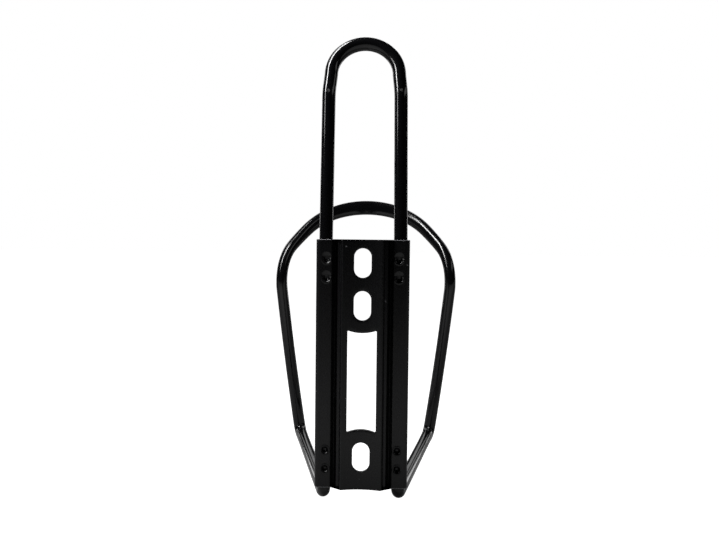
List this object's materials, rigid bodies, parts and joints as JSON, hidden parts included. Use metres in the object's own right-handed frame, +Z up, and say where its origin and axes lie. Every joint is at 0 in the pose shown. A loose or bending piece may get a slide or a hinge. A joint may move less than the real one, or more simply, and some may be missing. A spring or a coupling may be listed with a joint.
{
  "type": "water bottle cage",
  "caption": "Bicycle bottle cage: an extruded stay with bolt slots and a window, a tall upper loop with a leaning lip, and a wrap loop round the bottle.",
  "frame": {"origin": "the middle of the two bolt slots that are 64 mm apart, on the stay's hollow face that meets the bicycle's tube", "axes": "+Z up along the bottle, +Y from the bicycle's tube to the bottle, +X to the right seen from the tube side"},
  "size_m": [0.0732, 0.0848, 0.1549],
  "materials": {
    "stay_finish": "black anodised extrusion, fine satin",
    "rod_finish": "black anodised drawn rod, semi-gloss"
  },
  "bodies": {
    "root": {"stay": "stay_finish", "upper_loop": "rod_finish", "wrap_loop": "rod_finish"}
  },
  "joints": []
}
